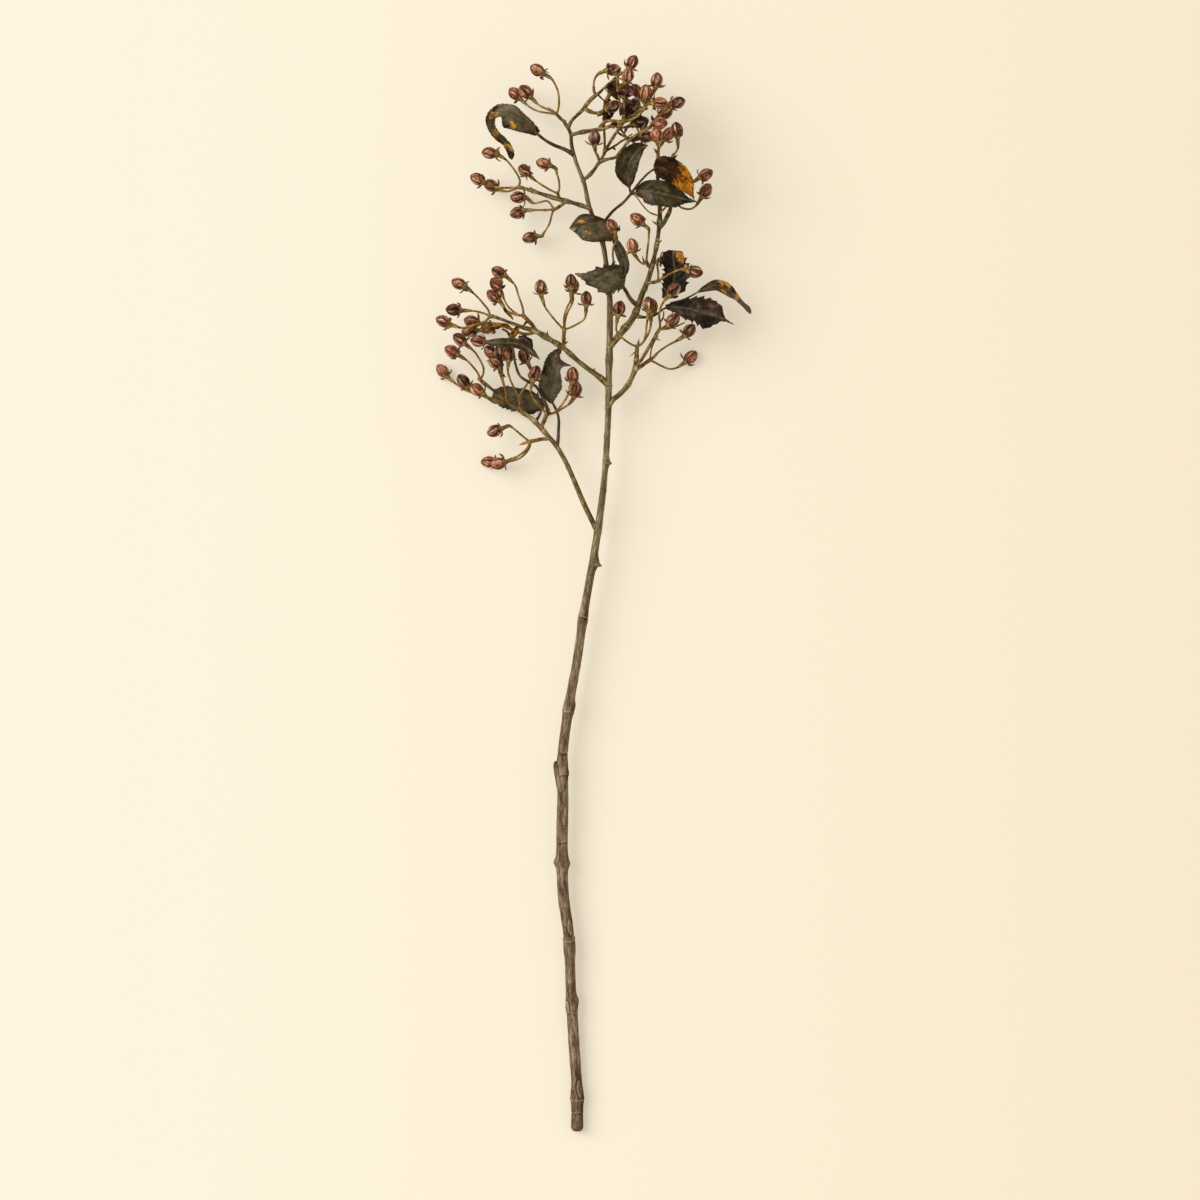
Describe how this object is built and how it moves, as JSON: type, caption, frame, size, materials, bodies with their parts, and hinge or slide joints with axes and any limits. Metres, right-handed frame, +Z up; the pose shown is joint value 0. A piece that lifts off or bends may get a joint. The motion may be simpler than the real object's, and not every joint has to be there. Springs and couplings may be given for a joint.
{
  "type": "hypericum berry sprig",
  "caption": "Cut woody stem lying flat, branching near its top into thin twigs that carry oval red-brown berries and withered leaves.",
  "frame": {"origin": "middle of the sprig's outline seen from above, on the surface it lies on", "axes": "+Z up from the surface, +Y from the cut foot of the stem to its berried top, +X to the right of that as seen from above"},
  "size_m": [0.2216, 0.7533, 0.0693],
  "materials": {
    "bark": "thin grey-brown bark with a lengthwise grain, olive near the top",
    "twig": "smooth grey-olive bark",
    "berry": "satin brick-red skin with darker lengthwise furrows",
    "leaf": "withered olive-brown leaf, dull, with a raised midrib",
    "ochre_leaf": "withered ochre leaf, dull, with brown streaks"
  },
  "bodies": {
    "root": {"main_stem": "bark", "branch_crown": "twig", "branch_lower_left": "twig", "branch_lower_right": "twig", "branch_middle_left": "twig", "branch_middle_right": "twig", "branch_right_fork": "twig", "branch_top": "twig", "branch_upper_left": "twig", "branch_upper_right": "twig", "leaf_compound_left": "leaf", "leaf_compound_right": "leaf", "leaf_compound_top": "ochre_leaf", "leaf_left_arched": "leaf", "leaf_left_flat": "leaf", "leaf_left_folded": "leaf", "leaf_left_small": "leaf", "leaf_middle_edge_on": "leaf", "leaf_middle_serrated": "leaf", "leaf_middle_smooth": "leaf", "leaf_right_curled": "leaf", "leaf_right_dark": "leaf", "leaf_right_serrated": "leaf", "leaf_top_curled": "leaf", "spray_crown_front": "berry", "spray_crown_inner": "berry", "spray_crown_left": "berry", "spray_crown_low_right": "berry", "spray_crown_middle": "berry", "spray_crown_right": "berry", "spray_crown_small": "berry", "spray_lower_left_bottom": "berry", "spray_lower_left_end": "berry", "spray_lower_left_fork": "berry", "spray_lower_left_inner": "berry", "spray_lower_left_outer": "berry", "spray_lower_left_upright": "berry", "spray_lower_right_end": "berry", "spray_lower_right_inner": "berry", "spray_lower_right_outer": "berry", "spray_middle": "berry", "spray_middle_left_high": "berry", "spray_middle_left_outer": "berry", "spray_middle_left_under": "berry", "spray_middle_left_upright": "berry", "spray_right_edge": "berry", "spray_right_inner": "berry", "spray_right_middle": "berry", "spray_top_end": "berry", "spray_top_left": "berry", "spray_top_middle": "berry", "spray_top_side": "berry", "spray_upper_left_end": "berry", "spray_upper_left_inner": "berry", "spray_upper_left_lower": "berry"}
  },
  "joints": []
}
